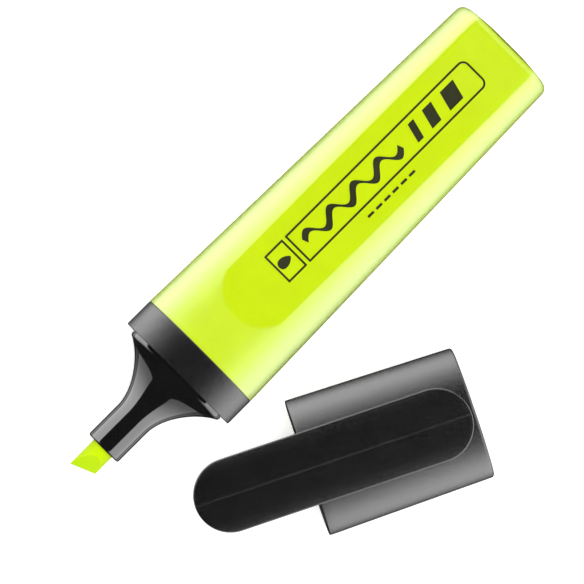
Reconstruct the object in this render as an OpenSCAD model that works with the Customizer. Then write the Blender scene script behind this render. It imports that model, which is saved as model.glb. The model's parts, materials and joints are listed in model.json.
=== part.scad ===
// Flat-bodied highlighter with a chisel nib. Its cap lies beside it, with a long clip on top.
// Origin: the middle of the barrel's flat underside. +X runs from the nib to the barrel's rear,
// +Y across the pen and +Z up, so the pen and the cap both lie on the plane Z = 0.

/* [Barrel] */
// Length of the barrel behind the collar, without its domed end
barrel_l = 82.2; // [75:0.1:95]
// Width of the barrel at the collar
barrel_w = 27; // [26.6:0.1:30]
// Width of the barrel at its rear end
barrel_rear_w = 23; // [22:0.1:26]
// Thickness of the barrel, the collar and the cap
body_t = 16; // [15.8:0.1:18]
// Wall thickness of the barrel's sides
barrel_wall = 1.5; // [1.2:0.1:1.8]
// Radius of the edge round the barrel's rear end
rear_round = 1.5; // [0.5:0.1:2]
// Height of the dome on the barrel's rear end
rear_dome = 0.8; // [0.3:0.1:1.5]

/* [Flat panel on the barrel] */
// Distance from the collar to the front of the panel
panel_start = 9.1; // [8:0.1:14]
// Length of the ramp at the front of the panel
panel_ramp = 5; // [3:0.5:8]
// Depth of the panel below the crown of the barrel, behind the ramp
panel_depth = 0.75; // [0.4:0.05:0.9]
// Depth of the panel below the crown at the barrel's rear end
panel_rear_depth = 1.2; // [0.9:0.05:1.3]

/* [Collar] */
// Length of the collar along the pen
collar_l = 6.1; // [5:0.05:8]

/* [Front section] */
// Length of the ledge that the cap slides over
ledge_l = 1.05; // [0.6:0.05:1.5]
// Width of the ledge
ledge_w = 23.3; // [22.5:0.1:23.5]
// Thickness of the ledge
ledge_t = 12.4; // [12:0.1:12.5]
// Length of the flare between the ledge and the tube
flare_l = 11.2; // [9:0.1:13]
// Length of the straight nib tube
tube_l = 7.75; // [6:0.05:8]
// Outside diameter of the nib tube
tube_d = 7.7; // [7.5:0.05:7.8]
// Length of the plug behind the collar, inside the barrel
plug_l = 6; // [5:0.5:8]

/* [Nib] */
// Diameter of the nib rod
nib_d = 4.8; // [4.6:0.05:5]
// How far the longer corner of the chisel stands out of the tube
nib_reach = 6.5; // [5.5:0.1:7]
// Slant of the chisel edge across the pen, in degrees
nib_slant = 22.7; // [0:0.1:30]
// Half angle of the chisel wedge, in degrees
nib_wedge = 34; // [20:1:40]
// Thickness of the chisel edge
nib_edge = 0.5; // [0.3:0.1:0.8]

/* [Ink reservoir] */
// Width of the fibre core
core_w = 18; // [16:0.1:18.2]
// Thickness of the fibre core
core_t = 9.4; // [8:0.1:9.5]
// Thickness of the film round the core
film_t = 0.2; // [0.15:0.05:0.25]

/* [Cap] */
// Length of the cap, without its domed end
cap_l = 33.3; // [33:0.1:36]
// Width of the cap at its open end
cap_w = 27; // [26.8:0.1:28]
// Width of the cap at its closed end
cap_end_w = 25.9; // [25.5:0.1:27]
// Wall thickness of the cap
cap_wall = 1.6; // [1.4:0.05:1.7]
// Distance of the cap's mouth behind the front of the barrel, negative towards the nib
cap_x = -1.4; // [-4:0.1:2]
// Distance of the middle of the cap's mouth from the pen's centre line
cap_y = -30.1; // [-34:0.1:-29]
// Angle of the cap to the pen, in degrees
cap_turn = -26.4; // [-30:0.1:-20]

/* [Clip] */
// Length of the clip
clip_l = 55; // [50:0.5:58]
// Width of the clip
clip_w = 14.1; // [12:0.1:14.2]
// Thickness of the clip at its long edges
clip_edge_t = 1.2; // [1:0.1:1.5]
// Rise of the clip's middle above its long edges
clip_crown = 0.35; // [0.2:0.05:0.8]
// How far the root of the clip stops short of the cap's closed end
clip_setback = 0.8; // [0.4:0.1:1.5]

/* [Hidden] */
$fn = 96;

// The cross-section is an oval between an ellipse (2) and a box, cut flat along the underside
oval_power = 2.5;
round_power = 2;
oval_sides = 64;
flat_depth = 0.2;
axis_z = body_t / 2 - flat_depth;
panel_rear_z = body_t / 2 - panel_rear_depth;
eps = 0.01;

// Free play between pieces that slide into each other
gap = 0.1;
collar_x = -collar_l;
flare_x = collar_x - ledge_l - flare_l;
tube_x = flare_x - tube_l;
nib_x = tube_x - nib_reach;

// The plug goes through the collar into the barrel's mouth
plug_w = ledge_w - 0.3;
plug_t = ledge_t - 0.3;
plug_wall = 1.4;
mouth_w = plug_w + 2 * gap;
mouth_t = plug_t + 2 * gap;

// The barrel's cavity stays one wall below the panel
cavity_start = plug_l + 0.5;
cavity_end = barrel_l - 1.8;
cavity_w = barrel_w - 2 * barrel_wall - 0.5;
cavity_rear_w = barrel_rear_w - 2 * barrel_wall;
cavity_t = 2 * (panel_rear_z - 1.4);
rib_w = 1;
rib_z = 1.8;
stop_l = 2.4;

// The nib runs through the tube and ends inside the fibre core
core_x = cavity_start;
core_l = cavity_end - stop_l - core_x;
socket_l = 6;
nib_end = core_x + socket_l - 0.4;
nib_bore_d = nib_d + gap;
film_gap = 0.05;

// The cap's cavity clears the ledge, and the seal cup clears the tube
cap_in_w = ledge_w + 0.5;
cap_in_end_w = cap_end_w - 2 * cap_wall;
cap_in_t = ledge_t + 0.4;
cap_round = 0.5;
cap_dome = 0.4;
cap_floor = cap_l - cap_wall;
seal_start = cap_floor - 18.2;
seal_bore_d = tube_d + 0.3;
seal_wall = 1.2;
seal_base_t = 1;
seal_flange_w = 20;
seal_flange_t = 10.4;

// The clip lies just above the cap's crown, and its foot sits in a pocket
clip_gap = 0.2;
clip_z = body_t / 2 + clip_gap;
clip_end = cap_l - clip_setback;
foot_l = 7.5;
foot_w = 8;
foot_depth = 0.9;
foot_end = clip_end - 1.2;
pocket_play = 0.3;
bead_d = 2.2;
bead_l = 6;
bead_drop = 0.8;
bead_x = clip_end - clip_l + 3.8;

// The clip's top is flattest in the middle and falls faster towards its edges
clip_power = 4;
crown_steps = 8;

// Point of an oval of half-width hw and half-thickness ht at angle a, never lower than the flat
function oval_point(hw, ht, power, a, flat) = [
    hw * sign(cos(a)) * pow(abs(cos(a)), 2 / power),
    max(-flat, ht * sign(sin(a)) * pow(abs(sin(a)), 2 / power))
];

function oval_outline(w, t, power = oval_power, flat = 1000) =
    [for (i = [0:oval_sides - 1]) oval_point(w / 2, t / 2, power, 360 * i / oval_sides, flat)];

// Solid skin through a row of ovals along X, each given as [x, width, thickness, power]
module loft(rings, flat = 1000) {
    n = oval_sides;
    last = len(rings) - 1;
    points = [for (r = rings) for (p = oval_outline(r[1], r[2], r[3], flat)) [r[0], p[0], p[1]]];
    sides = [
        for (k = [0:last - 1]) for (i = [0:n - 1]) let (
            a = k * n + i,
            b = k * n + (i + 1) % n
        ) each [[a, b + n, b], [a, a + n, b + n]]
    ];
    ends = [[for (i = [0:n - 1]) i], [for (i = [n - 1:-1:0]) last * n + i]];
    polyhedron(points = points, faces = concat(sides, ends));
}

// Rings of a rounded edge and a dome that close a shell at x
function closed_end(x, w, t, radius, dome) = concat(
    [for (a = [0:30:90]) [x - radius * (1 - sin(a)), w - 2 * radius * (1 - cos(a)),
        t - 2 * radius * (1 - cos(a)), oval_power]],
    [for (k = [0.75, 0.5, 0.25]) [x + dome * (1 - k * k), (w - 2 * radius) * k,
        (t - 2 * radius) * k, oval_power]]
);

// Bar with an oval cross-section that doesn't change along X
module oval_bar(x, length, w, t, flat = 1000)
    translate([x, 0, 0]) rotate([90, 0, 90]) linear_extrude(length)
        polygon(oval_outline(w, t, oval_power, flat));

// Round bar along X
module rod(x, length, d) translate([x, 0, 0]) rotate([0, 90, 0]) cylinder(h = length, d = d);

// Flat-sided bar along X with half-round edges
module stadium_bar(x, length, w, t) {
    translate([x, (t - w) / 2, -t / 2]) cube([length, w - t, t]);
    for (side = [-1, 1]) translate([0, side * (w - t) / 2, 0]) rod(x, length, t);
}

// Slab whose outline has half-round ends along X
module stadium_slab(length, w, t) {
    translate([w / 2, -w / 2, 0]) cube([length - w, w, t]);
    for (x = [w / 2, length - w / 2]) translate([x, 0, 0]) cylinder(h = t, d = w);
}

// The pen's own frame: X = 0 at the joint of the collar and the barrel, on the pen's axis
module pen_frame() translate([-barrel_l / 2, 0, axis_z]) children();

// The cap's own frame: X = 0 at the open end, running to the closed end
module cap_frame() pen_frame() translate([cap_x, cap_y, 0]) rotate([0, 0, cap_turn]) children();

// Everything above the panel: a short ramp, then a flat that sinks slowly to the rear
module panel_cut() {
    crown_z = body_t / 2;
    reach = barrel_l + rear_dome + 1;
    rotate([90, 0, 0]) translate([0, 0, -barrel_w / 2]) linear_extrude(barrel_w) polygon([
        [panel_start, crown_z], [panel_start + panel_ramp, crown_z - panel_depth],
        [reach, panel_rear_z], [reach, crown_z + 5], [panel_start, crown_z + 5]
    ]);
}

// Ribs that centre the fibre core and stop it at the rear
module barrel_ribs() {
    core_edge = core_w / 2 + film_t + film_gap + gap;
    for (side = [-1, 1]) for (level = [-rib_z, rib_z]) translate([cavity_start + 3,
        side > 0 ? core_edge : -barrel_w, level - rib_w / 2])
        cube([cavity_end, barrel_w - core_edge, rib_w]);
    for (side = [-1, 1]) translate([cavity_end - stop_l, side * 5 - rib_w / 2, -body_t / 2])
        cube([stop_l + 5, rib_w, body_t]);
}

module barrel() {
    mid_w = (cavity_w + cavity_rear_w) / 2;
    color([0.85, 1, 0.1]) pen_frame() difference() {
        loft(concat([[0, barrel_w, body_t, oval_power]],
            closed_end(barrel_l, barrel_rear_w, body_t, rear_round, rear_dome)), axis_z);
        panel_cut();
        oval_bar(-1, cavity_start + 1 + eps, mouth_w, mouth_t);
        difference() {
            loft([[cavity_start, cavity_w, cavity_t, oval_power],
                [(cavity_start + cavity_end) / 2, mid_w, cavity_t, oval_power],
                [cavity_end, cavity_rear_w, cavity_t, oval_power]]);
            barrel_ribs();
        }
    }
}

module collar() {
    color([0.12, 0.12, 0.12]) pen_frame() difference() {
        oval_bar(collar_x, collar_l, barrel_w, body_t, axis_z);
        oval_bar(collar_x - 1, collar_l + 2, mouth_w, mouth_t);
    }
}

// Share of the widening that the flare has reached at the fraction u of its length
function flare_share(u) = 0.9 * pow(u, 1.9) + 0.1 * pow(u, 10);

// Tube, flare, ledge and plug as one skin
module front_skin() {
    steps = 14;
    flare = [for (i = [0:steps]) let (
        u = i / steps,
        share = flare_share(u)
    ) [flare_x + flare_l * u, tube_d + (ledge_w - tube_d) * share, tube_d + (ledge_t - tube_d) * share,
        round_power + (oval_power - round_power) * pow(u, 6)]];
    loft(concat([[tube_x, tube_d, tube_d, round_power]], flare, [
        [collar_x, ledge_w, ledge_t, oval_power],
        [collar_x, plug_w, plug_t, oval_power],
        [plug_l, plug_w, plug_t, oval_power]
    ]));
}

module front_section() {
    hollow_x = collar_x - ledge_l / 2;
    neck_x = collar_x - 3.4;
    neck_w = 12;
    neck_t = 8;
    sleeve_d = 7;
    color([0.05, 0.05, 0.05]) pen_frame() difference() {
        union() {
            difference() {
                front_skin();
                oval_bar(hollow_x, plug_l + 1 - hollow_x, plug_w - 2 * plug_wall, plug_t - 2 * plug_wall);
                oval_bar(neck_x, 0.5 - neck_x, neck_w, neck_t);
            }
            rod(neck_x - 1, plug_l - neck_x, sleeve_d);
        }
        rod(tube_x - 1, plug_l + 2 - tube_x, nib_bore_d);
    }
}

module nib() {
    block = 100;
    color([0.8, 0.95, 0]) pen_frame() difference() {
        rod(nib_x, nib_end - nib_x, nib_d);
        translate([nib_x, nib_d / 2, 0]) rotate([0, 0, nib_slant]) {
            translate([-block, -block / 2, -block / 2]) cube(block);
            for (side = [0, 1]) mirror([0, 0, side]) translate([0, 0, nib_edge / 2])
                rotate([0, -nib_wedge, 0]) translate([-block / 2, -block / 2, 0]) cube(block);
        }
    }
}

module ink_reservoir() {
    color([0.75, 0.85, 0.2]) pen_frame() difference() {
        stadium_bar(core_x, core_l, core_w, core_t);
        rod(core_x - 1, socket_l + 1, nib_bore_d);
    }
}

module reservoir_wrap() {
    inner = 2 * film_gap;
    outer = inner + 2 * film_t;
    color([0.9, 0.9, 0.9]) pen_frame() difference() {
        stadium_bar(core_x + 1, core_l - 2, core_w + outer, core_t + outer);
        stadium_bar(core_x, core_l, core_w + inner, core_t + inner);
    }
}

module cap_shell() {
    pocket_l = foot_l + 2 * pocket_play;
    pocket_w = foot_w + 2 * pocket_play;
    color([0.15, 0.15, 0.15]) cap_frame() difference() {
        loft(concat([[0, cap_w, body_t, oval_power]],
            closed_end(cap_l, cap_end_w, body_t, cap_round, cap_dome)), axis_z);
        loft([[-1, cap_in_w, cap_in_t, oval_power], [cap_floor, cap_in_end_w, cap_in_t, oval_power]]);
        translate([foot_end + pocket_play - pocket_l, -pocket_w / 2, clip_z - foot_depth - clip_gap])
            cube([pocket_l, pocket_w, 5]);
    }
}

module inner_cap() {
    color([0.3, 0.3, 0.3]) cap_frame() difference() {
        union() {
            rod(seal_start, cap_floor - gap - seal_start, seal_bore_d + 2 * seal_wall);
            stadium_bar(cap_floor - gap - seal_base_t, seal_base_t, seal_flange_w, seal_flange_t);
        }
        rod(seal_start - 1, cap_floor - gap - seal_base_t - seal_start + 1, seal_bore_d);
    }
}

module pocket_clip() {
    half_w = clip_w / 2;
    color([0.08, 0.08, 0.08]) cap_frame() {
        translate([clip_end - clip_l, 0, clip_z]) intersection() {
            stadium_slab(clip_l, clip_w, 5);
            rotate([90, 0, 90]) linear_extrude(clip_l) polygon(concat([[-half_w, 0], [half_w, 0]],
                [for (k = [crown_steps:-1:-crown_steps]) let (share = k / crown_steps)
                    [half_w * share, clip_edge_t + clip_crown * (1 - pow(share, clip_power))]]));
        }
        translate([foot_end - foot_l, -foot_w / 2, clip_z - foot_depth])
            cube([foot_l, foot_w, foot_depth + clip_edge_t / 2]);
        translate([bead_x, bead_l / 2, clip_z - bead_drop + bead_d / 2]) rotate([90, 0, 0])
            cylinder(h = bead_l, d = bead_d);
    }
}

barrel();
collar();
front_section();
nib();
ink_reservoir();
reservoir_wrap();
cap_shell();
inner_cap();
pocket_clip();
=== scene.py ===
# Flat-bodied yellow highlighter with its black cap beside it: meshes, materials, camera and light.
import json
import math

import bmesh
import bpy
from mathutils import Matrix, Vector


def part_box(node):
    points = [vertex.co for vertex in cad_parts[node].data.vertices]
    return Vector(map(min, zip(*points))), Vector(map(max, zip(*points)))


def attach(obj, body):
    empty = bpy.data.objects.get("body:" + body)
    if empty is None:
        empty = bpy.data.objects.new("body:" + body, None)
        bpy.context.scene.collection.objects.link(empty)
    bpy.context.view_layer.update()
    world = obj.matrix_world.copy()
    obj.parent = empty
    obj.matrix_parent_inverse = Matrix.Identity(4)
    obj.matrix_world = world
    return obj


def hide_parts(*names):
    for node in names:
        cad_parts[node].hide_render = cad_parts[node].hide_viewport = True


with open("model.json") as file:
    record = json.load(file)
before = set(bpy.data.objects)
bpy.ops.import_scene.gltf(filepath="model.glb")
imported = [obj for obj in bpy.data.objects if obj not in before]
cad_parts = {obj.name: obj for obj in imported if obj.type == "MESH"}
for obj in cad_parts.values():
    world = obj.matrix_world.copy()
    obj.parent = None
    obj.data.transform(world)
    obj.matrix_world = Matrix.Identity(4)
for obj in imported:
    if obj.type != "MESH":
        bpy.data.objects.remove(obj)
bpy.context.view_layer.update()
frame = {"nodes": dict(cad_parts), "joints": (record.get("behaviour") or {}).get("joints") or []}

MM = 0.001

# ---------------------------------------------------------------- sizes of the object, in mm
OVAL = 2.5  # power of the oval cross-section: 2 is an ellipse, more is boxier
ROUND = 2.0
BODY_T = 16.0
FLAT_DEPTH = 0.2
UNDERSIDE = BODY_T / 2 - FLAT_DEPTH  # drop from the axis to the flat that the pen and the cap lie on

BARREL_L = 82.2
BARREL_W = 27.0
BARREL_REAR_W = 23.0
BARREL_WALL = 1.5
REAR_ROUND = 1.5
REAR_DOME = 0.8
PANEL_START = 9.1
PANEL_RAMP = 5.0
PANEL_DEPTH = 0.75
PANEL_REAR_DEPTH = 1.2
PANEL_EDGE_Y = 7.45
PANEL_CREASE = 0.02  # rounding of the panel's long edges over most of its length
REAR_CREASE = 0.16  # how much rounder they get towards the rear
CREASE_GROWS = (58, 76)  # X places where that begins and ends
POLISH_EDGE = (-0.02, 0.07)  # depth under the plain oval where the polish begins and is full
POLISH_LOSS = 0.6  # share of the polish that the rear of the panel lacks
POLISH_FADES = (62, 80)  # X places where it begins to fade and has faded
SEAM_BOW = 0.22
SEAM_REACH = 3.0

COLLAR_L = 6.1
LEDGE_L = 1.05
LEDGE_W = 23.3
LEDGE_T = 12.4
FLARE_L = 11.2
TUBE_L = 7.75
TUBE_D = 7.7
PLUG_L = 6.0
PLUG_W = LEDGE_W - 0.3
PLUG_T = LEDGE_T - 0.3
MOUTH_W = PLUG_W + 0.2
MOUTH_T = PLUG_T + 0.2

CORE_W = 18.0
SIDE_SHADE_SHARES = (0.8, 1.15)  # shares of the core's half width between which the painted shade on the barrel's sides begins and is full

NIB_D = 4.8
NIB_BORE_D = 4.9
NIB_SLANT = math.radians(22.7)
NIB_WEDGE = math.radians(34)
NIB_EDGE = 0.5

CAP_L = 33.3
CAP_W = 27.0
CAP_END_W = 25.9
CAP_WALL = 1.6
CAP_IN_W = LEDGE_W + 0.5
CAP_IN_T = LEDGE_T + 0.4
CAP_DOME = 0.4
CAP_ROUND = 0.5

CLIP_L = 55.0
CLIP_W = 14.1
CLIP_EDGE_T = 1.2
CLIP_CROWN = 0.35
CLIP_LINE_W = 0.12  # half the width of the fine line along the clip
CLIP_LINE_T = 0.014
CLIP_LIFT = 0.2
CLIP_END = CAP_L - 0.8
CLIP_ENDS = (CLIP_END - CLIP_L + CLIP_W / 2, CLIP_END - CLIP_W / 2)  # centres of its round ends
FOOT_END = CLIP_END - 1.2
FOOT_L = 7.5
FOOT_W = 8.0
FOOT_DEPTH = 0.9
POCKET_PLAY = 0.3

# ---------------------------------------------------------------- places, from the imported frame
barrel_low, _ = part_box("barrel")
nib_low, nib_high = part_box("nib")
axis_z = (nib_low[2] + nib_high[2]) / 2
PEN = Matrix.Translation((barrel_low[0], 0, axis_z))

flex = next(j for j in frame["joints"] if j["name"] == "clip_flex")
across = Vector(flex["axis"])
along = Vector((across.y, -across.x, 0))
cap_mouth = Vector(flex["pos_m"]) - along * FOOT_END * MM
cap_mouth.z = axis_z
CAP = Matrix.Translation(cap_mouth) @ Matrix.Rotation(math.atan2(along.y, along.x), 4, "Z")


# ---------------------------------------------------------------- mesh helpers
def new_object(name, bm, where):
    """Turns a bmesh in mm into a smooth-shaded object in the frame of the whole model."""
    sharp = math.radians(40)
    bmesh.ops.recalc_face_normals(bm, faces=bm.faces)
    bm.transform(where @ Matrix.Scale(MM, 4))
    for face in bm.faces:
        face.smooth = True
    for edge in bm.edges:
        if len(edge.link_faces) == 2 and edge.calc_face_angle() > sharp:
            edge.smooth = False
    mesh = bpy.data.meshes.new(name)
    bm.to_mesh(mesh)
    bm.free()
    piece = bpy.data.objects.new(name, mesh)
    bpy.context.scene.collection.objects.link(piece)
    return piece


def join_loops(bm, loops):
    """Faces between each closed loop of vertices and the next."""
    for first, second in zip(loops, loops[1:]):
        for i in range(len(first)):
            j = (i + 1) % len(first)
            bm.faces.new((first[i], first[j], second[j], second[i]))


def join_rows(bm, rows):
    """Faces between each open row of vertices and the next."""
    for first, second in zip(rows, rows[1:]):
        for a, b, c, d in zip(first, first[1:], second[1:], second):
            bm.faces.new((a, b, c, d))


def join_tube(bm, loops, closed):
    """Faces along a row of loops, which either runs back to its start or is filled at both ends."""
    if closed:
        join_loops(bm, loops + loops[:1])
    else:
        join_loops(bm, loops)
        bm.faces.new(loops[0])
        bm.faces.new(loops[-1])


def skin(rings, closed=False):
    """Bmesh through rings of equal count; ends are filled unless the row of rings is closed."""
    bm = bmesh.new()
    join_tube(bm, [[bm.verts.new(p) for p in ring] for ring in rings], closed)
    return bm


def oval_ring(x, half_w, half_t, power=OVAL, count=192, flat=None):
    """Ring of an oval across X, cut flat underneath at z = -flat."""
    ring = []
    for i in range(count):
        a = 2 * math.pi * i / count
        c, s = math.cos(a), math.sin(a)
        y = math.copysign(abs(c) ** (2 / power), c) * half_w
        z = math.copysign(abs(s) ** (2 / power), s) * half_t
        if flat is not None:
            z = max(z, -flat)
        ring.append((x, y, z))
    return ring


def quarter(steps):
    """Sine and cosine at even steps over a quarter turn."""
    return [(math.sin(a), math.cos(a)) for a in (math.pi / 2 * k / steps for k in range(steps + 1))]


def smoothstep(low, high, value):
    """Rises smoothly from 0 at the low value to 1 at the high one."""
    t = min(1.0, max(0.0, (value - low) / (high - low)))
    return t * t * (3 - 2 * t)


def dome(ring, x, rise, shares):
    """Rings over a domed end that starts at x: the rim's ring shrunk to each of the shares."""
    return [[(x + rise * (1 - k * k), y * k, z * k) for _, y, z in ring] for k in shares]


def cut_away(piece, cutter):
    """Cuts one object out of another and deletes the cutter."""
    cut = piece.modifiers.new("cut", "BOOLEAN")
    cut.object = cutter
    cut.operation = "DIFFERENCE"
    cut.solver = "EXACT"
    finish_modifiers(piece)
    bpy.data.objects.remove(cutter)


def finish_modifiers(piece):
    """Replaces a piece's mesh with the result of its modifiers."""
    bpy.context.view_layer.update()
    depsgraph = bpy.context.evaluated_depsgraph_get()
    mesh = bpy.data.meshes.new_from_object(piece.evaluated_get(depsgraph))
    piece.modifiers.clear()
    piece.data = mesh


def box_mesh(low, high):
    """Bmesh of a box between two corners."""
    bm = bmesh.new()
    bmesh.ops.create_cube(bm, size=1)
    for v in bm.verts:
        v.co = Vector(low[k] if v.co[k] < 0 else high[k] for k in range(3))
    return bm


def smooth_by_angle(piece, degrees):
    """Smooth shading that breaks at edges sharper than an angle."""
    bm = bmesh.new()
    bm.from_mesh(piece.data)
    for face in bm.faces:
        face.smooth = True
    for edge in bm.edges:
        if len(edge.link_faces) == 2:
            edge.smooth = edge.calc_face_angle() < math.radians(degrees)
    bm.to_mesh(piece.data)
    bm.free()


def write_values(piece, name, values):
    """Stores one number for each vertex, for a material to read."""
    layer = piece.data.attributes.new(name, "FLOAT", "POINT")
    layer.data.foreach_set("value", values)


# ---------------------------------------------------------------- barrel
def half_width(x):
    """Half the barrel's width, which tapers towards its rear."""
    return (BARREL_W + (BARREL_REAR_W - BARREL_W) * x / BARREL_L) / 2


def panel_z(x):
    """Height of the panel above the pen's axis: a short ramp, then a flat that sinks to the rear."""
    top = BODY_T / 2
    ramp = (x - PANEL_START) / PANEL_RAMP
    if ramp < 1:
        return top - PANEL_DEPTH * ramp
    share = (x - PANEL_START - PANEL_RAMP) / (BARREL_L + REAR_DOME - PANEL_START - PANEL_RAMP)
    return top - PANEL_DEPTH - (PANEL_REAR_DEPTH - PANEL_DEPTH) * share


def soft_min(a, b, radius):
    """Smaller of two values, rounded over where they cross."""
    share = min(1.0, max(0.0, 0.5 + (b - a) / (2 * radius)))
    return b + (a - b) * share - radius * share * (1 - share)


def barrel_stations():
    """Fixed Y places over the top, close together at the panel's long edges."""
    coarse_steps, fine_steps = 16, 18
    fine_start, fine_step = 0.9, 0.12
    half = [PANEL_EDGE_Y * k / coarse_steps for k in range(coarse_steps - 2)]
    half += [PANEL_EDGE_Y - fine_start + fine_step * k for k in range(fine_steps)]
    return sorted({side * y for y in half for side in (-1, 1)}, reverse=True)


TOP_Y = barrel_stations()


def barrel_ring(x, half_w, half_t, inset=0.0, lowest=None):
    """Ring of the barrel: the top by Y place, the sides and underside by angle."""
    half_w -= inset
    half_t -= inset
    shrink = half_w / (half_w + inset)
    crease = PANEL_CREASE + REAR_CREASE * smoothstep(*CREASE_GROWS, x)
    ring = []
    for y in TOP_Y:
        y *= shrink
        crown = half_t * (1 - min(1, abs(y) / half_w) ** OVAL) ** (1 / OVAL)
        ring.append((x, y, soft_min(crown, panel_z(x) - inset, crease)))
    start = math.acos((TOP_Y[0] * shrink / half_w) ** (OVAL / 2))
    turns = 120
    for k in range(1, turns):
        a = math.pi - start + (math.pi + 2 * start) * k / turns
        c, s = math.cos(a), math.sin(a)
        y = math.copysign(abs(c) ** (2 / OVAL), c) * half_w
        z = math.copysign(abs(s) ** (2 / OVAL), s) * half_t
        if lowest is not None:
            z = max(z, -lowest)
        ring.append((x, y, z))
    return ring


def bow_seam(bm):
    """Bends the seam between the collar and the barrel a little towards the rear in the middle."""
    for v in bm.verts:
        x, y, _ = v.co
        v.co.x += SEAM_BOW * (1 - (2 * y / BARREL_W) ** 2) * (1 - smoothstep(0, SEAM_REACH, abs(x)))


def mark_polish(piece):
    """Writes to each vertex how far it lies on the polished panel, for the material to read."""
    back = PEN.inverted()
    values = []
    for v in piece.data.vertices:
        x, y, z = (back @ v.co) / MM
        crown = BODY_T / 2 * max(0, 1 - min(1, abs(y) / half_width(x)) ** OVAL) ** (1 / OVAL)
        fade = 1 - POLISH_LOSS * smoothstep(*POLISH_FADES, x)
        values.append(smoothstep(*POLISH_EDGE, crown - panel_z(x)) * fade if z > 0 else 0.0)
    write_values(piece, "polish", values)


def mark_side_shade(piece):
    """Writes to each vertex 1 where the barrel keeps its full colour and 0 on its sides, where the
    material paints shade; the full middle stands for the pale fibre core lighting up the shell from
    behind.
    """
    back = PEN.inverted()
    full, none = [share * CORE_W / 2 for share in SIDE_SHADE_SHARES]
    reach = [abs((back @ v.co).y) / MM for v in piece.data.vertices]
    write_values(piece, "unshaded_middle", [1 - smoothstep(full, none, y) for y in reach])


def inner_ring(x, w, t):
    """Ring of the barrel's inside, with as many points as the outside has."""
    outer = barrel_ring(0, BARREL_W / 2, BODY_T / 2)
    return [(x, y * w / BARREL_W, z * t / BODY_T) for _, y, z in outer]


def make_barrel():
    """Shell from the inside out: the cavity, the mouth for the plug, the lip, the outside, the rear."""
    wall_under_panel, rear_wall = 1.4, 1.8
    plug_gap, front_taper = 0.5, 0.5
    cavity_t = BODY_T - 2 * (PANEL_REAR_DEPTH + wall_under_panel)
    rear_x = BARREL_L - rear_wall
    cavity_x = PLUG_L + plug_gap
    rings = [inner_ring(rear_x, BARREL_REAR_W - 2 * BARREL_WALL, cavity_t)]
    rings.append(inner_ring(cavity_x, BARREL_W - 2 * BARREL_WALL - front_taper, cavity_t))
    rings.append(inner_ring(cavity_x, MOUTH_W, MOUTH_T))
    rings.append(inner_ring(0, MOUTH_W, MOUTH_T))
    lip = 0.08
    for s, c in quarter(4):
        rings.append(barrel_ring(lip * (1 - c), half_width(0), BODY_T / 2, lip * (1 - s), UNDERSIDE))
    straight = BARREL_L - REAR_ROUND
    margin = 0.15
    steps = 190
    for k in range(1, steps):
        x = lip + margin + (straight - lip - 2 * margin) * k / steps
        rings.append(barrel_ring(x, half_width(x), BODY_T / 2, 0, UNDERSIDE))
    for s, c in quarter(8):
        x = straight + REAR_ROUND * s
        rings.append(barrel_ring(x, half_width(x), BODY_T / 2, REAR_ROUND * (1 - c), UNDERSIDE))
    rings += dome(rings[-1], BARREL_L, REAR_DOME, (0.98, 0.93, 0.85, 0.74, 0.6, 0.45, 0.3, 0.15, 0.05))
    bm = skin(rings)
    bow_seam(bm)
    piece = new_object("barrel_shell", bm, PEN)
    mark_polish(piece)
    # the material paints shade on the barrel's sides from these values
    mark_side_shade(piece)
    return piece


# ---------------------------------------------------------------- collar and front section
def make_collar():
    """Ring round the plug, with a rounded lip at each end."""
    lip = 0.14
    rear_lip = 0.24
    steps = 12

    def outer(x, inset=0.0):
        return oval_ring(x, BARREL_W / 2 - inset, BODY_T / 2 - inset, flat=UNDERSIDE)

    rings = []
    for s, c in quarter(4):
        rings.append(outer(-COLLAR_L + lip * (1 - c), lip * (1 - s)))
    for k in range(steps + 1):
        rings.append(outer(-COLLAR_L + 2 * lip + (COLLAR_L - 4 * lip) * k / steps))
    for s, c in quarter(4):
        rings.append(outer(-rear_lip * (1 - s), rear_lip * (1 - c)))
    rings.append(oval_ring(0, MOUTH_W / 2, MOUTH_T / 2))
    rings.append(oval_ring(-COLLAR_L, MOUTH_W / 2, MOUTH_T / 2))
    bm = skin(rings, closed=True)
    bow_seam(bm)
    return new_object("collar_ring", bm, PEN)


def flare_share(u):
    """Share of the widening that the flare has reached at the fraction u of its length."""
    late_share = 0.1
    return (1 - late_share) * u**1.9 + late_share * u**10


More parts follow.
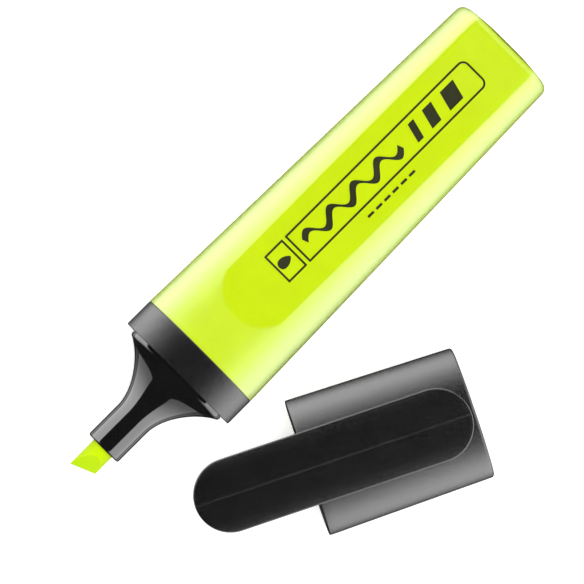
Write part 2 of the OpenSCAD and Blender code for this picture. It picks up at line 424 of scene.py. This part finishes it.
def make_front_section():
    """Hollow mouthpiece: bore, nib tube, flare, rounded ledge, then the plug that fills the barrel."""
    flare_x = -COLLAR_L - LEDGE_L - FLARE_L
    tube_x = flare_x - TUBE_L
    bore = NIB_BORE_D / 2
    radius = TUBE_D / 2
    rim = 0.4
    duct_end = PLUG_L - 1

    def ring(x, half_w, half_t, power=ROUND):
        return oval_ring(x, half_w, half_t, power, count=144)

    rings = [ring(duct_end, bore, bore), ring(tube_x + 2 * rim, bore, bore)]
    for s, c in quarter(4):
        r = bore + rim * (1 - c)
        rings.append(ring(tube_x + rim * (1 - s), r, r))
    for s, c in quarter(5):
        r = radius - rim * (1 - s)
        rings.append(ring(tube_x + rim * (1 - c), r, r))
    tube_steps = 12
    for k in range(1, tube_steps):
        rings.append(ring(tube_x + rim + (TUBE_L - rim) * k / tube_steps, radius, radius))
    shoulder = 0.42
    shoulder_l = 0.75
    stays_round = 6  # power: the more, the nearer to the ledge the round section turns oval
    flare_steps = 64
    for k in range(flare_steps + 1):
        u = k / flare_steps
        share = flare_share(u)
        half_w = radius + (LEDGE_W / 2 - shoulder - radius) * share
        half_t = radius + (LEDGE_T / 2 - shoulder - radius) * share
        power = ROUND + (OVAL - ROUND) * u**stays_round
        rings.append(ring(flare_x + FLARE_L * u, half_w, half_t, power))
    ledge_x = flare_x + FLARE_L
    for s, c in quarter(9)[1:]:
        inset = shoulder * (1 - s)
        x = ledge_x + shoulder_l * (1 - c)
        rings.append(ring(x, LEDGE_W / 2 - inset, LEDGE_T / 2 - inset, OVAL))
    groove = 0.15
    rings.append(ring(-COLLAR_L - groove, LEDGE_W / 2, LEDGE_T / 2, OVAL))
    rings.append(ring(-COLLAR_L - groove, PLUG_W / 2, PLUG_T / 2, OVAL))
    rings.append(ring(PLUG_L, PLUG_W / 2, PLUG_T / 2, OVAL))
    wall = 1.4
    duct = 3.5
    hollow_x = -COLLAR_L - LEDGE_L / 2
    rings.append(ring(PLUG_L, PLUG_W / 2 - wall, PLUG_T / 2 - wall, OVAL))
    rings.append(ring(hollow_x, PLUG_W / 2 - wall, PLUG_T / 2 - wall, OVAL))
    rings.append(ring(hollow_x, duct, duct))
    rings.append(ring(duct_end, duct, duct))
    return new_object("front_mouthpiece", skin(rings, closed=True), PEN)


# ---------------------------------------------------------------- nib
def make_nib():
    """Round fibre rod with two bevels that meet in a slanted chisel edge."""
    tip_x = (nib_low[0] - barrel_low[0]) / MM
    end_x = (nib_high[0] - barrel_low[0]) / MM
    radius = NIB_D / 2
    step, steps = 0.35, 28
    stations = [tip_x + step * k for k in range(steps)] + [end_x]
    bm = skin([oval_ring(x, radius, radius, ROUND, count=72) for x in stations])
    corner = Vector((tip_x, radius, 0))
    turn = Matrix.Rotation(NIB_SLANT, 3, "Z")
    edge_normal = turn @ Vector((-1, 0, 0))
    cuts = [(corner, edge_normal)]
    for side in (1, -1):
        lean = Matrix.Rotation(-side * NIB_WEDGE, 3, "Y")
        start = corner + Vector((0, 0, side * NIB_EDGE / 2))
        cuts.append((start, turn @ (lean @ Vector((0, 0, side)))))
    for point, normal in cuts:
        whole = bm.verts[:] + bm.edges[:] + bm.faces[:]
        cut = bmesh.ops.bisect_plane(bm, geom=whole, plane_co=point, plane_no=normal, clear_outer=True)
        rim = [e for e in cut["geom_cut"] if isinstance(e, bmesh.types.BMEdge)]
        bmesh.ops.edgeloop_fill(bm, edges=rim)
    weld, softness = 0.005, 0.16
    bmesh.ops.remove_doubles(bm, verts=bm.verts, dist=weld)
    piece = new_object("chisel_nib", bm, PEN)
    soft = piece.modifiers.new("soft_edges", "BEVEL")
    soft.width = softness * MM
    soft.segments = 3
    soft.angle_limit = math.radians(20)
    finish_modifiers(piece)
    smooth_by_angle(piece, 50)
    return piece


# ---------------------------------------------------------------- cap
def make_cap_shell():
    """Shell from the inside out: the cavity, the rounded mouth, the outside, the domed end, the pocket."""
    lip = 0.28
    mouth_l, mouth_taper = 1.0, 0.02
    side_steps = 40
    end_half_w = (CAP_END_W - 2 * CAP_WALL) / 2

    def outer(x, inset=0.0):
        half = (CAP_W + (CAP_END_W - CAP_W) * x / CAP_L) / 2
        return oval_ring(x, half - inset, BODY_T / 2 - inset, flat=UNDERSIDE)

    rings = [oval_ring(CAP_L - CAP_WALL, end_half_w, CAP_IN_T / 2)]
    rings.append(oval_ring(mouth_l, CAP_IN_W / 2 - mouth_taper, CAP_IN_T / 2))
    for s, c in quarter(4):
        grow = lip * (1 - c)
        rings.append(oval_ring(lip * (1 - s), CAP_IN_W / 2 + grow, CAP_IN_T / 2 + grow))
    for s, c in quarter(5):
        rings.append(outer(lip * (1 - c), lip * (1 - s)))
    straight = CAP_L - CAP_ROUND
    for k in range(1, side_steps):
        rings.append(outer(2 * lip + (straight - 3 * lip) * k / side_steps))
    for s, c in quarter(7):
        rings.append(outer(straight + CAP_ROUND * s, CAP_ROUND * (1 - c)))
    rings += dome(rings[-1], CAP_L, CAP_DOME, (0.97, 0.9, 0.8, 0.65, 0.5, 0.35, 0.2, 0.06))
    piece = new_object("cap_body", skin(rings), CAP)
    top = BODY_T / 2
    clear_above = 3
    pocket_end = FOOT_END + POCKET_PLAY
    pocket_start = pocket_end - FOOT_L - 2 * POCKET_PLAY
    low = (pocket_start, -FOOT_W / 2 - POCKET_PLAY, top - FOOT_DEPTH)
    high = (pocket_end, FOOT_W / 2 + POCKET_PLAY, top + clear_above)
    cut_away(piece, new_object("pocket_cutter", box_mesh(low, high), CAP))
    smooth_by_angle(piece, 40)
    return piece


# ---------------------------------------------------------------- pocket clip
def clip_top(y):
    """Height of the clip above its flat underside: a low crown with a fine raised line along it."""
    crown = CLIP_EDGE_T + CLIP_CROWN * (1 - (2 * abs(y) / CLIP_W) ** 4)
    return crown + CLIP_LINE_T * math.sqrt(max(0.0, 1 - (y / CLIP_LINE_W) ** 2))


def stadium_grid(inset, columns, height):
    """Rows of points over a stadium outline; each row runs along X at one Y."""
    half_w = CLIP_W / 2 - inset
    low_x, high_x = CLIP_ENDS
    steps = 34
    over_the_line = (0.03, 0.06, 0.09, 0.11, 0.12, 0.18)
    ys = {half_w * math.sin(math.pi / 2 * k / steps) for k in range(-steps, steps + 1)}
    ys |= {sign * y for y in over_the_line for sign in (-1, 1)}
    rows = []
    for y in sorted(ys):
        reach = math.sqrt(max(0.0, half_w**2 - y * y))
        row = []
        for k in range(columns + 1):
            x = low_x - reach + (high_x - low_x + 2 * reach) * k / columns
            row.append((x, y, height(y)))
        rows.append(row)
    return rows


def make_clip():
    """Long blade with round ends: its top and underside as sheets, joined round the rim."""
    base = BODY_T / 2 + CLIP_LIFT
    columns = 60
    rim, under_rim = 0.3, 0.15
    low_x, high_x = CLIP_ENDS
    bm = bmesh.new()

    def sheet(height):
        verts = [[bm.verts.new(p) for p in row] for row in stadium_grid(rim, columns, height)]
        join_rows(bm, verts)
        return verts

    def outline(verts):
        left = [row[0] for row in verts]
        right = [row[-1] for row in verts]
        return verts[0] + right[1:-1] + verts[-1][::-1] + left[1:-1][::-1]

    def outward(p):
        return Vector((p.x - min(max(p.x, low_x), high_x), p.y, 0)).normalized()

    def moved(loop, reach, lift):
        return [bm.verts.new(v.co + outward(v.co) * reach + Vector((0, 0, lift))) for v in loop]

    top_loop = outline(sheet(lambda y: base + clip_top(y)))
    bottom_loop = outline(sheet(lambda y: base))
    loops = [top_loop]
    for s, c in quarter(6)[1:]:
        loops.append(moved(top_loop, rim * s, -rim * (1 - c)))
    for s, c in quarter(3):
        loops.append(moved(bottom_loop, rim - under_rim * (1 - c), under_rim * (1 - s)))
    loops.append(bottom_loop)
    join_loops(bm, loops)
    return new_object("clip_blade", bm, CAP)


def make_clip_foot():
    """Foot that sits in the cap's pocket."""
    top = BODY_T / 2 + CLIP_LIFT
    low = (FOOT_END - FOOT_L, -FOOT_W / 2, top - FOOT_DEPTH)
    bm = box_mesh(low, (FOOT_END, FOOT_W / 2, top))
    softness = 0.12
    bmesh.ops.bevel(bm, geom=bm.edges[:], offset=softness, segments=2, affect="EDGES")
    return new_object("clip_foot", bm, CAP)


def make_clip_bead():
    """Small bead under the free end, which snaps behind the collar when the pen is capped."""
    radius, end_loss, half_l = 1.1, 0.35, 3.0
    from_tip, depth, top = 3.8, 0.8, 0.75
    x = CLIP_END - CLIP_L + from_tip
    z = BODY_T / 2 + CLIP_LIFT - depth + radius
    turns = [2 * math.pi * k / 40 for k in range(40)]
    rings = []
    for y in (-half_l, -2.8, -2.4, 0.0, 2.4, 2.8, half_l):
        r = radius - end_loss * smoothstep(2.3, half_l, abs(y))
        rings.append([(x + r * math.cos(a), y, z + min(top, r * math.sin(a))) for a in turns])
    return new_object("clip_bead", skin(rings), CAP)


# ---------------------------------------------------------------- printed marks
INK_T = 0.04
LINE_W = 0.4
PRINT_LOW_Y = -2.85
PRINT_HIGH_Y = 4.0


def ribbon(bm, left, right, closed=False):
    """Thin plate on the panel between two lines of (x, y) points of equal count."""
    def lifted(points, lift):
        return [bm.verts.new((x, y, panel_z(x) + lift)) for x, y in points]

    over = lifted(left, INK_T), lifted(right, INK_T)
    under = lifted(right, -INK_T), lifted(left, -INK_T)
    join_tube(bm, list(zip(*over, *under)), closed)


def rounded_box(x0, x1, y0, y1, front_radius, rear_radius, steps=8):
    """Outline of a rectangle, with one radius for its front corners and one for its rear ones."""
    corners = ((x1, y1, rear_radius, 0), (x0, y1, front_radius, 90),
               (x0, y0, front_radius, 180), (x1, y0, rear_radius, 270))
    points = []
    for cx, cy, r, start in corners:
        mx = cx - r if cx == x1 else cx + r
        my = cy - r if cy == y1 else cy + r
        for k in range(steps + 1):
            a = math.radians(start + 90 * k / steps)
            points.append((mx + r * math.cos(a), my + r * math.sin(a)))
    return points


def print_frame(bm, x0, x1, front_radius, rear_radius):
    """Outline of a box over the full height of the print."""
    inner = [max(0.05, r - LINE_W) for r in (front_radius, rear_radius)]
    outside = rounded_box(x0, x1, PRINT_LOW_Y, PRINT_HIGH_Y, front_radius, rear_radius)
    inside = rounded_box(x0 + LINE_W, x1 - LINE_W, PRINT_LOW_Y + LINE_W, PRINT_HIGH_Y - LINE_W, *inner)
    ribbon(bm, outside, inside, closed=True)


def print_drop(bm, x, y, radius, tail):
    """Ink drop that points to the rear of the pen."""
    upper, lower = [], []
    steps = 20
    taper, least = 0.35, 0.01
    for k in range(steps + 1):
        a = math.pi * (1 - k / steps)
        along_x = x + radius * math.cos(a) + tail * (k / steps) ** 3
        half = radius * math.sin(a) * (1 - taper * k / steps) + least
        upper.append((along_x, y + half))
        lower.append((along_x, y - half))
    ribbon(bm, upper, lower)


def print_wave(bm, x0, x1, y, waves, height, width):
    """Bold wavy stroke, as a sample of what the nib draws."""
    left, right = [], []
    steps = 24 * waves
    slant = 0.25
    for k in range(steps + 1):
        a = 2 * math.pi * waves * k / steps
        x = x0 + (x1 - x0) * k / steps
        half = width / 2
        left.append((x - slant, y + height * math.sin(a) + half))
        right.append((x + slant, y + height * math.sin(a) - half))
    ribbon(bm, left, right)


def print_bar(bm, x, y, length, height, slant=0.0):
    """Filled bar, upright or slanted."""
    ribbon(bm, [(x + slant, y + height / 2), (x + length + slant, y + height / 2)],
           [(x - slant, y - height / 2), (x + length - slant, y - height / 2)])


def make_print():
    """Plain label: a drop in a box, a wavy stroke, three line widths and a row of dashes."""
    bm = bmesh.new()
    middle = (PRINT_LOW_Y + PRINT_HIGH_Y) / 2
    tight, wide = 0.15, 1.5
    dashes, dash_start, dash_step, dash_y = 6, 40.2, 2.2, -4.6
    print_frame(bm, 20.9, 25.7, tight, tight)
    print_drop(bm, 22.8, middle, radius=1.25, tail=0.6)
    print_frame(bm, 26.4, 74.3, tight, wide)
    print_wave(bm, 28.6, 54.0, middle, waves=4, height=1.25, width=1.3)
    for x, length in ((57.4, 1.5), (61.2, 2.4), (66.0, 3.5)):
        print_bar(bm, x, middle, length, height=3.9, slant=0.5)
    for k in range(dashes):
        print_bar(bm, dash_start + dash_step * k, dash_y, length=1.5, height=0.5)
    return bm


# ---------------------------------------------------------------- materials
CLOUDS = 180  # cycles a metre of the slow change of colour
FINE_GRAIN = 9000
FIBRE_GRAIN = 3000


def grey(level):
    return (level, level, level)


def material(name, color, roughness, specular=0.8):
    """Material with one plain shader, and its nodes, links and shader."""
    plastic_ior = 1.6
    mat = bpy.data.materials.new(name)
    mat.use_nodes = True
    shader = mat.node_tree.nodes["Principled BSDF"]
    shader.inputs["Base Color"].default_value = (*color, 1)
    shader.inputs["Roughness"].default_value = roughness
    shader.inputs["Specular IOR Level"].default_value = specular
    shader.inputs["IOR"].default_value = plastic_ior
    return mat, mat.node_tree.nodes, mat.node_tree.links, shader


def noise(nodes, links, scale):
    """Noise in the object's own coordinates, in metres, so that scale is in cycles a metre."""
    coords = nodes.new("ShaderNodeTexCoord")
    texture = nodes.new("ShaderNodeTexNoise")
    texture.inputs["Scale"].default_value = scale
    texture.inputs["Detail"].default_value = 2
    links.new(coords.outputs["Object"], texture.inputs["Vector"])
    return texture.outputs["Fac"]


def spread(nodes, links, value, low, high):
    """Maps a 0 to 1 value to a range."""
    node = nodes.new("ShaderNodeMapRange")
    node.inputs["To Min"].default_value = low
    node.inputs["To Max"].default_value = high
    links.new(value, node.inputs["Value"])
    return node.outputs["Result"]


def tint(nodes, links, value, dark, light):
    """Colours a 0 to 1 value from dark to light, over the range where most of a noise lies."""
    node = nodes.new("ShaderNodeValToRGB")
    for stop, position, color in zip(node.color_ramp.elements, (0.3, 0.7), (dark, light)):
        stop.position = position
        stop.color = (*color, 1)
    links.new(value, node.inputs["Fac"])
    return node.outputs["Color"]


def bump(nodes, links, height, shader, depth):
    """Raises a surface by a height of 0 to 1 times a depth in metres."""
    node = nodes.new("ShaderNodeBump")
    node.inputs["Distance"].default_value = depth
    node.inputs["Strength"].default_value = 1.0
    links.new(height, node.inputs["Height"])
    links.new(node.outputs["Normal"], shader.inputs["Normal"])


def moulded(name, dark, light, smooth, rough, grain, depth, specular=0.8):
    """Moulded plastic: slight colour and gloss variation over a fine grain."""
    mat, nodes, links, shader = material(name, light, rough, specular)
    cloud = noise(nodes, links, CLOUDS)
    links.new(tint(nodes, links, cloud, dark, light), shader.inputs["Base Color"])
    fine = noise(nodes, links, grain)
    links.new(spread(nodes, links, fine, smooth, rough), shader.inputs["Roughness"])
    bump(nodes, links, fine, shader, depth)
    return mat


def clear_skin(mat):
    """Adds the clear outer skin of a translucent plastic over its own gloss."""
    nodes, links = mat.node_tree.nodes, mat.node_tree.links
    shader = nodes["Principled BSDF"]
    shader.inputs["Coat Weight"].default_value = 0.9
    links.new(nodes["Bump"].outputs["Normal"], shader.inputs["Coat Normal"])


def paint_side_shade(mat, side_shade_color):
    """Paints shade on a translucent shell: a deeper colour on its sides, where no fibre core lies behind
    it, in place of the light falling off over the flanks.
    """
    nodes, links = mat.node_tree.nodes, mat.node_tree.links
    unshaded_middle = nodes.new("ShaderNodeAttribute")
    unshaded_middle.attribute_name = "unshaded_middle"
    blend_color(mat, spread(nodes, links, unshaded_middle.outputs["Fac"], 1.0, 0.0), side_shade_color)


def blend_color(mat, share, color):
    """Blends a material's own colour towards another by a share worked out in its nodes."""
    nodes, links = mat.node_tree.nodes, mat.node_tree.links
    base = nodes["Principled BSDF"].inputs["Base Color"]
    own_color = base.links[0].from_socket
    mix = nodes.new("ShaderNodeMix")
    mix.data_type = "RGBA"
    from_color, to_color, blended = mix.inputs[6], mix.inputs[7], mix.outputs[2]
    links.new(share, mix.inputs["Factor"])
    links.new(own_color, from_color)
    to_color.default_value = (*color, 1)
    links.new(blended, base)


def paint_facet_shade(mat, facet_shade_color):
    """Paints shade on the cut faces of the nib, which look towards its tip: a darker colour by the way
    they face, in place of the shade on the slanted faces.
    """
    nodes, links = mat.node_tree.nodes, mat.node_tree.links
    coords = nodes.new("ShaderNodeTexCoord")
    axes = nodes.new("ShaderNodeSeparateXYZ")
    links.new(coords.outputs["Normal"], axes.inputs["Vector"])
    facing = nodes.new("ShaderNodeMapRange")
    links.new(axes.outputs["X"], facing.inputs["Value"])
    facing.inputs["From Min"].default_value = -0.1
    facing.inputs["From Max"].default_value = -0.55
    blend_color(mat, facing.outputs["Result"], facet_shade_color)


def polished_panel(mat, gloss):
    """Smooths a moulded material where the mesh's polish value is high."""
    nodes, links = mat.node_tree.nodes, mat.node_tree.links
    shader = nodes["Principled BSDF"]
    polish = nodes.new("ShaderNodeAttribute")
    polish.attribute_name = "polish"
    satin = shader.inputs["Roughness"].links[0].from_socket
    mix = nodes.new("ShaderNodeMapRange")
    links.new(polish.outputs["Fac"], mix.inputs["Value"])
    links.new(satin, mix.inputs["To Min"])
    mix.inputs["To Max"].default_value = gloss
    links.new(mix.outputs["Result"], shader.inputs["Roughness"])
    links.new(mix.outputs["Result"], shader.inputs["Coat Roughness"])
    grain_left = 0.03
    calm = spread(nodes, links, polish.outputs["Fac"], 1.0, grain_left)
    links.new(calm, nodes["Bump"].inputs["Strength"])


# ---------------------------------------------------------------- build
PEN_BODY, CAP_BODY, CLIP_BODY = "pen", "cap", "clip"
mat_barrel = moulded("fluorescent_yellow", dark=(0.52, 0.7, 0.0), light=(0.55, 0.735, 0.0),
                     smooth=0.22, rough=0.25, grain=FINE_GRAIN, depth=0.00006, specular=1.0)
clear_skin(mat_barrel)
# painted shade: a deeper yellow on the barrel's sides
paint_side_shade(mat_barrel, (0.44, 0.61, 0.0))
polished_panel(mat_barrel, 0.08)
mat_satin = moulded("satin_black_plastic", dark=grey(0.001), light=grey(0.002),
                    smooth=0.21, rough=0.24, grain=FINE_GRAIN, depth=0.000057)
mat_cap = moulded("satin_black_cap", dark=grey(0.001), light=grey(0.002),
                  smooth=0.21, rough=0.24, grain=FINE_GRAIN, depth=0.000058, specular=0.95)
# partly painted shade: the inside of the cap reflects little, in place of the shade that falls there
mat_shaded_inside = moulded("inner_black_plastic", dark=grey(0.001), light=grey(0.003),
                     smooth=0.45, rough=0.55, grain=FINE_GRAIN, depth=0.00003, specular=0.2)
mat_gloss = moulded("gloss_black_plastic", dark=grey(0.004), light=grey(0.005),
                    smooth=0.05, rough=0.08, grain=900, depth=0.000001)
mat_matte = moulded("matte_black_plastic", dark=grey(0.001), light=grey(0.003),
                    smooth=0.2, rough=0.23, grain=FINE_GRAIN, depth=0.000053)
mat_nib = moulded("ink_soaked_fibre", dark=(0.46, 0.66, 0.0), light=(0.53, 0.75, 0.0),
                  smooth=0.7, rough=0.9, grain=FIBRE_GRAIN, depth=0.00003, specular=0.3)
# painted shade: the nib's cut faces are darker by which way they face
paint_facet_shade(mat_nib, (0.42, 0.65, 0.0))
mat_core = moulded("core_fibre", dark=(0.4, 0.55, 0.03), light=(0.6, 0.75, 0.08),
                   smooth=0.7, rough=0.9, grain=FIBRE_GRAIN, depth=0.00003)
mat_film = moulded("thin_film", dark=(0.7, 0.72, 0.7), light=(0.8, 0.82, 0.8),
                   smooth=0.15, rough=0.25, grain=1500, depth=0.000004)
mat_seal = moulded("seal_plastic", dark=grey(0.02), light=grey(0.03),
                   smooth=0.45, rough=0.55, grain=3000, depth=0.000005, specular=0.1)
mat_print = moulded("printing_ink", dark=(0.012, 0.014, 0.004), light=(0.02, 0.022, 0.008),
                    smooth=0.35, rough=0.5, grain=5000, depth=0.000002, specular=0.4)


def line_inside(piece, frame_of_piece, mat):
    """Gives the cap's faces that look inwards their own duller, weakly reflecting copy of the black
    plastic, a matte finish that also stands in for the shade inside the cap, but not those of its flat
    rim.
    """
    least_lean = 0.3
    piece.data.materials.append(mat)
    into = frame_of_piece.inverted()
    for face in piece.data.polygons:
        center, normal = into @ face.center, into.to_3x3() @ face.normal
        outwards = (center.y * normal.y + center.z * normal.z) / math.hypot(center.y, center.z)
        inner_end = normal.x < -0.5 and center.x > CAP_WALL * MM
        if outwards < -least_lean or inner_end:
            face.material_index = 1


def place(piece, body, mat, slot, *nodes):
    """Gives a piece its material and its body, and hides the CAD nodes that it stands for; the finish that
    it is called with is not used.

    No piece shows in another's gloss, only the lights do.
    """
    piece.data.materials.clear()
    piece.data.materials.append(mat)
    piece.visible_glossy = False
    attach(piece, body)
    if nodes:
        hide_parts(*nodes)


place(make_barrel(), PEN_BODY, mat_barrel, "barrel_plastic", "barrel")
place(make_collar(), PEN_BODY, mat_satin, "satin_black", "collar")
place(make_front_section(), PEN_BODY, mat_gloss, "gloss_black", "front_section")
place(make_nib(), PEN_BODY, mat_nib, "nib_fibre", "nib")
cap_body = make_cap_shell()
place(cap_body, CAP_BODY, mat_cap, "satin_black", "cap_shell")
line_inside(cap_body, CAP, mat_shaded_inside)
place(make_clip(), CLIP_BODY, mat_matte, "matte_black", "pocket_clip")
place(make_clip_foot(), CLIP_BODY, mat_matte, "matte_black")
place(make_clip_bead(), CLIP_BODY, mat_matte, "matte_black")
place(new_object("panel_print", make_print(), PEN), PEN_BODY, mat_print, "satin_black")
for node, mat in (("ink_reservoir", mat_core), ("reservoir_wrap", mat_film), ("inner_cap", mat_seal)):
    frame["nodes"][node].visible_glossy = False
    for slot in frame["nodes"][node].material_slots:
        slot.material = mat


# ---------------------------------------------------------------- stage, light and camera
def make_stage():
    """Pale floor that curves up into a wall far round the object."""
    radius, bend, height, hub = 1.6, 0.5, 1.4, 0.02
    rings, around = 8, 96
    profile = [(hub, 0.0)] + [(radius * k / rings, 0.0) for k in range(1, rings + 1)]
    profile += [(radius + bend * s, bend * (1 - c)) for s, c in quarter(10)[1:]]
    profile.append((radius + bend, height))
    turns = [2 * math.pi * k / around for k in range(around)]
    bm = bmesh.new()
    loops = [[bm.verts.new((r * math.cos(a), r * math.sin(a), z)) for a in turns] for r, z in profile]
    join_loops(bm, loops)
    bm.faces.new(loops[0])
    floor = new_object("floor", bm, Matrix.Scale(1 / MM, 4))
    floor.visible_glossy = False
    floor.visible_shadow = False
    mat, nodes, links, shader = material("pale_floor", grey(0.86), roughness=0.8, specular=0.0)
    cloud = noise(nodes, links, scale=3)
    links.new(tint(nodes, links, cloud, grey(0.85), grey(0.88)), shader.inputs["Base Color"])
    shader.inputs["Emission Color"].default_value = (1, 1, 1, 1)
    shader.inputs["Emission Strength"].default_value = 0.45
    floor.data.materials.append(mat)


def softbox(name, side, lowest, highest, radiance):
    """Tall soft light that curves round one side of the table; its angles are in degrees.

    It shows only in the gloss of the plastics. It dims towards the nib end and a little to the rear.
    """
    distance = 0.5
    nib_end, rear_end = -57, 80
    nib_loss, rear_loss = 0.72, 0.25
    columns, rows = 32, 6
    bm = bmesh.new()
    grid = []
    glow_values = []
    for k in range(columns + 1):
        azimuth = nib_end + (rear_end - nib_end) * k / columns
        turn = math.radians(azimuth)
        glow = 1 - nib_loss * smoothstep(20, 54, -azimuth) - rear_loss * smoothstep(0, 40, azimuth)
        x, y = distance * math.sin(turn), side * distance * math.cos(turn)
        column = []
        for row in range(rows + 1):
            rise = math.radians(lowest + (highest - lowest) * row / rows)
            column.append(bm.verts.new((x, y, distance * math.tan(rise))))
            glow_values.append(glow)
        grid.append(column)
    join_rows(bm, grid)
    panel = new_object(name, bm, Matrix.Translation((0, 0, axis_z)) @ Matrix.Scale(1 / MM, 4))
    write_values(panel, "glow", glow_values)
    mat = bpy.data.materials.new(name)
    mat.use_nodes = True
    nodes, links = mat.node_tree.nodes, mat.node_tree.links
    nodes.remove(nodes["Principled BSDF"])
    glow = nodes.new("ShaderNodeAttribute")
    glow.attribute_name = "glow"
    emission = nodes.new("ShaderNodeEmission")
    links.new(spread(nodes, links, glow.outputs["Fac"], 0.0, radiance), emission.inputs["Strength"])
    links.new(emission.outputs["Emission"], nodes["Material Output"].inputs["Surface"])
    mat.cycles.emission_sampling = "NONE"
    panel.data.materials.append(mat)
    panel.visible_camera = False
    panel.visible_diffuse = False
    panel.visible_shadow = False


def overhead(height, shift, radius, radiance):
    """Round soft light straight above that gives the even, matte part of the light."""
    lamp = bpy.data.lights.new("overhead", "AREA")
    lamp.shape = "DISK"
    lamp.size = 2 * radius
    lamp.energy = radiance * math.pi * math.pi * radius**2
    light = bpy.data.objects.new("overhead", lamp)
    light.location = (0, shift, height)
    light.visible_camera = False
    light.visible_glossy = False
    bpy.context.scene.collection.objects.link(light)


def make_camera():
    """Long lens almost straight above, leaning a little towards the nib; the pen runs diagonally."""
    lean = math.radians(2.3)
    distance = 0.8
    width = 111.2 * MM
    behind_mouth, aside = 20.3 * MM, -4.4 * MM
    sensor = 36
    target = Vector((barrel_low[0] + behind_mouth, aside, axis_z))
    forward = Vector((math.sin(lean), 0, -math.cos(lean)))
    right = Vector((1, -1, 0)).normalized()
    up = right.cross(forward).normalized()
    right = forward.cross(up).normalized()
    turn = Matrix((right, up, -forward)).transposed()
    camera = bpy.data.cameras.new("camera")
    camera.sensor_width = sensor
    camera.lens = sensor * distance / width
    camera.clip_end = 10
    body = bpy.data.objects.new("camera", camera)
    body.matrix_world = Matrix.Translation(target - forward * distance) @ turn.to_4x4()
    bpy.context.scene.collection.objects.link(body)
    bpy.context.scene.camera = body


make_stage()
overhead(height=1.0, shift=-0.08, radius=0.35, radiance=9.6)
softbox("soft_left", side=1, lowest=-22, highest=46, radiance=3.7)
softbox("soft_right", side=-1, lowest=-22, highest=48, radiance=3.05)
softbox("low_left", side=1, lowest=-50, highest=-22, radiance=1.0)
softbox("low_right", side=-1, lowest=-50, highest=-22, radiance=1.0)
make_camera()

world = bpy.data.worlds.new("studio")
bpy.context.scene.world = world
world.use_nodes = True
world.node_tree.nodes["Background"].inputs["Color"].default_value = (*grey(0.03), 1)
bpy.context.scene.view_settings.view_transform = "Standard"
